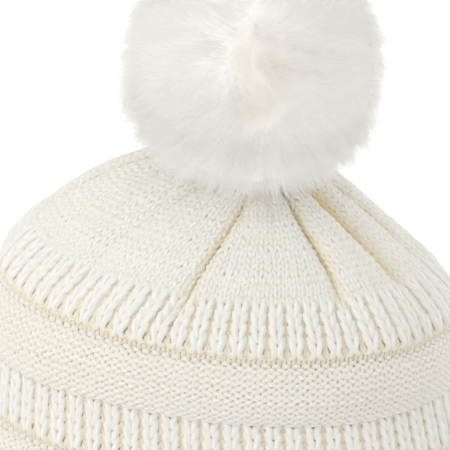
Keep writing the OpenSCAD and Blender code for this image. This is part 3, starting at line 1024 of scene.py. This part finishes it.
# Underneath it is open round the snap, and from there its inner side follows the pelt.
neck_r, hollow_r = 13.8 * MM, pelt_r + 0.3 * MM
b = bmesh.new()
b.from_mesh(under_mesh)
below = [v for v in b.verts if math.hypot(v.co.x, v.co.y) < neck_r and v.co.z < pom_centre[2]]
bmesh.ops.delete(b, geom=below, context="VERTS")
rim = [e for e in b.edges if e.is_boundary]
for climb in np.linspace(math.asin((pelt[0].z - pelt_z) / hollow_r), math.pi / 2, 14):
    made = bmesh.ops.extrude_edge_only(b, edges=rim)["geom"]
    rim = [e for e in made if isinstance(e, bmesh.types.BMEdge)]
    for v in {v for v in made if isinstance(v, bmesh.types.BMVert)}:
        flat = Vector((v.co.x, v.co.y, 0)).normalized() * hollow_r * math.cos(climb)
        v.co = flat + Vector((0, 0, pelt_z + hollow_r * math.sin(climb)))
sealed(b, under_mesh)
piece("pom_underfur", under_mesh, under_fur, "pom", "pom_fur")

# The long guard hairs of the faux fur stand out of the pile in soft tufts, combed away from the parting. More
# of them grow low at the front, and these lie over the top of the crown.
hair_count, low_count, tuft_count, fur_pieces = 26000, 6000, 900, 4
hair_r, hair_sides = 0.055 * MM, 3


def spread(count, jitter):
    """Directions spread evenly over a ball, a little out of place."""
    i = np.arange(count) + 0.5
    z = 1 - 2 * i / count
    a = i * math.pi * (3 - math.sqrt(5))
    flat = np.sqrt(1 - z * z)
    return unit(np.c_[flat * np.cos(a), flat * np.sin(a), z] + chance.normal(0, jitter, (count, 3)))


def combed(roots, loose):
    """Where hairs that leave the ball at these directions point at their tips."""
    side = unit(np.cross(roots, [0.3, 0.2, 0.93]))
    other = np.cross(roots, side)
    tiny = 1e-4
    here = lie(roots)[0]
    slope = [((lie(unit(roots + tiny * way))[0] - here) / tiny)[:, None] * way for way in (side, other)]
    drop = np.array([0, 0, -0.1])
    swept = 0.36 * (here**2 / (here**2 + 0.35))[:, None] * unit(slope[0] + slope[1])
    return unit(roots + swept + drop + chance.normal(0, loose, roots.shape))


tuft_roots = spread(tuft_count, 0.03)
tuft_tips = combed(tuft_roots, 0.09)
tuft_reach = pom_r * chance.uniform(0.95, 1.02, tuft_count)
tree = kdtree.KDTree(tuft_count)
for i, direction in enumerate(tuft_roots):
    tree.insert(direction, i)
tree.balance()
hair_roots = spread(hair_count, 0.012)
low_roots = spread(5 * low_count, 0.012)
low_roots = low_roots[(np.abs(low_roots[:, 2] + 0.5) < 0.25) & (low_roots[:, 1] < 0.3)][:low_count]
hair_roots = np.vstack([hair_roots, low_roots])
# No hair grows underneath, round the snap.
hair_roots = hair_roots[hair_roots[:, 2] > -0.93]
tuft = np.array([tree.find(direction)[1] for direction in hair_roots])
held = chance.uniform(0.2, 0.8, len(hair_roots))[:, None]
tips = unit(combed(hair_roots, 0.08) * (1 - held) + tuft_tips[tuft] * held)
reach = tuft_reach[tuft] * chance.uniform(0.92, 1.03, len(hair_roots))
front = np.clip(-tips[:, 1], 0, 1)
trailing = 0.06 + 0.2 * chance.uniform(0, 1, len(tips)) ** 2
reach = reach * (1 + trailing * front * np.clip((-tips[:, 2] - 0.25) / 0.3, 0, 1))
reach = reach * (1 + 0.08 * chance.uniform(0, 1, len(tips)) ** 4)
root_points = pom_centre + (pom_r * root_share * fullness(hair_roots))[:, None] * hair_roots
tip_points = pom_centre + (reach * fullness(tips))[:, None] * tips
bend_points = root_points + hair_roots * 0.5 * np.linalg.norm(tip_points - root_points, axis=1)[:, None]
share = np.array([0, 0.3, 0.58, 0.82, 1])[None, :, None]
hairs = (
    root_points[:, None] * (1 - share) ** 2
    + bend_points[:, None] * 2 * share * (1 - share)
    + tip_points[:, None] * share**2
)
curl = chance.normal(0, 0.15 * MM, (len(hairs), 1, 3))
curl = curl * np.sin(share * 5 + chance.uniform(0, 6, (len(hairs), 1, 1)))
hairs += curl * share
hairs = above_hat(hairs, chance.uniform(0, 3 * MM, (len(hairs), 1)) * share[..., 0])
hair_widths = hair_r * np.array([0, 1, 0.9, 0.6, 0]) * chance.uniform(0.7, 1.15, (len(hairs), 1))

# The hairs glow a little: painted light that stands for light scattered through the fur. Hairs near the
# parting and hairs that point up are painted darker and creamier and glow less, as painted shade. The rest of
# their tone differs at random.
white_fur = Look("white_fur")
u, v = white_fur.own_map()
white = white_fur.mixed(v, colour(0.947, 0.944, 0.93), colour(0.97, 0.97, 0.96))
hair_colour = white_fur.mixed(u * 0.6, white, colour(0.88, 0.85, 0.80))
white_fur.finish({
    "Base Color": hair_colour, "Roughness": 0.7, "Specular IOR Level": 0.15, "Sheen Weight": 0.1,
    "Emission Color": white_fur.mixed(u, colour(1, 0.995, 0.98), colour(0.3, 0.275, 0.23)),
    "Emission Strength": 0.2,
})
white_fur.covered(0.4, white_fur.node("BsdfTranslucent", (), {"Color": hair_colour}))
upper = np.clip(tips[:, 2], 0, 1)
near_parting = np.exp(-((lie(hair_roots)[0] / 0.8) ** 2))
order = np.argsort(np.arctan2(tips[:, 1], tips[:, 0]))
for number, chosen in enumerate(np.array_split(order, fur_pieces)):
    mesh = yarns(f"pom_fur_{number + 1}", hairs[chosen], hair_widths[chosen], hair_sides, False)
    hair_of_loop = np.arange(len(mesh.loops)) // (len(mesh.loops) // len(chosen))
    hair_tone_and_shade = chance.uniform(0, 0.4, len(chosen)) + 0.5 * near_parting[chosen] + 0.35 * upper[chosen]
    remap(mesh, lambda along, around: (hair_tone_and_shade[hair_of_loop] + 0.05 * around, along))
    welded(mesh)
    piece(f"pom_fur_{number + 1}", mesh, white_fur, "pom", "pom_fur")

# The studio is a wide pale floor in an even white surround. A large soft lamp stands at the left, and a
# weaker one behind the right.
floor_mesh = bpy.data.meshes.new("floor")
b = bmesh.new()
bmesh.ops.create_circle(b, cap_ends=True, segments=64, radius=8.0)
b.to_mesh(floor_mesh)
b.free()
floor = placed("floor", floor_mesh)


def looked_at(look):
    """1 where the camera looks, also in mirrors and through glass, and 0 for the light on the object."""
    seen = look.node("LightPath", out="Is Camera Ray")
    for other in ("Is Glossy Ray", "Is Transmission Ray"):
        seen = seen.math("MAXIMUM", seen, look.node("LightPath", out=other))
    return seen


floor_paper = Look("floor_paper")
floor_paper.finish({"Base Color": colour(0.9, 0.9, 0.9), "Roughness": 1.0})
floor_glow = floor_paper.node("Emission", (), {"Color": colour(1, 1, 1), "Strength": 1.25})
floor_paper.covered(looked_at(floor_paper) * 0.55, floor_glow)
floor_mesh.materials.append(floor_paper.material)

fill = 0.9
world = bpy.data.worlds.new("surround")
bpy.context.scene.world = world
surround = Look("surround", world)
surround.finish({"Color": colour(1, 1, 1), "Strength": fill + (1 - fill) * looked_at(surround)})


def lamp(name, place, target, size, power):
    data = bpy.data.lights.new(name, "AREA")
    data.shape, data.size, data.energy = "DISK", size, power
    made = placed(name, data)
    made.location = place
    made.rotation_euler = (Vector(target) - Vector(place)).to_track_quat("-Z", "Y").to_euler()


hat_middle = (0, 0, 0.16)
lamp("key", (-1.3, -1.05, 0.9), hat_middle, 0.9, 7.5)
lamp("edge", (1.05, 0.95, 0.85), hat_middle, 0.9, 3.6)

# The camera looks down at the front of the crown from a little over a metre, through a long lens. It is
# rolled a little, so that the hat leans to the right.
elevation, lean, distance = math.radians(22.2), math.radians(6.2), 1.1
focal_px, image_px = 2530, 450
point, point_px = Vector((0, 0, 0.140)), (233.0, 241.7)
forward = Vector((0, math.cos(elevation), -math.sin(elevation)))
level_right, level_up = Vector((1, 0, 0)), Vector((0, math.sin(elevation), math.cos(elevation)))
right = math.cos(lean) * level_right + math.sin(lean) * level_up
up = -math.sin(lean) * level_right + math.cos(lean) * level_up
metres_per_px = distance / focal_px
middle_px = image_px / 2
eye = (
    point - distance * forward
    - right * (point_px[0] - middle_px) * metres_per_px
    + up * (point_px[1] - middle_px) * metres_per_px
)
lens = bpy.data.cameras.new("camera")
lens.sensor_width = 36
lens.lens = lens.sensor_width * focal_px / image_px
camera = placed("camera", lens)
camera.matrix_world = Matrix.Translation(eye) @ Matrix((right, up, -forward)).transposed().to_4x4()
bpy.context.scene.camera = camera
bpy.context.scene.view_settings.view_transform = "Standard"
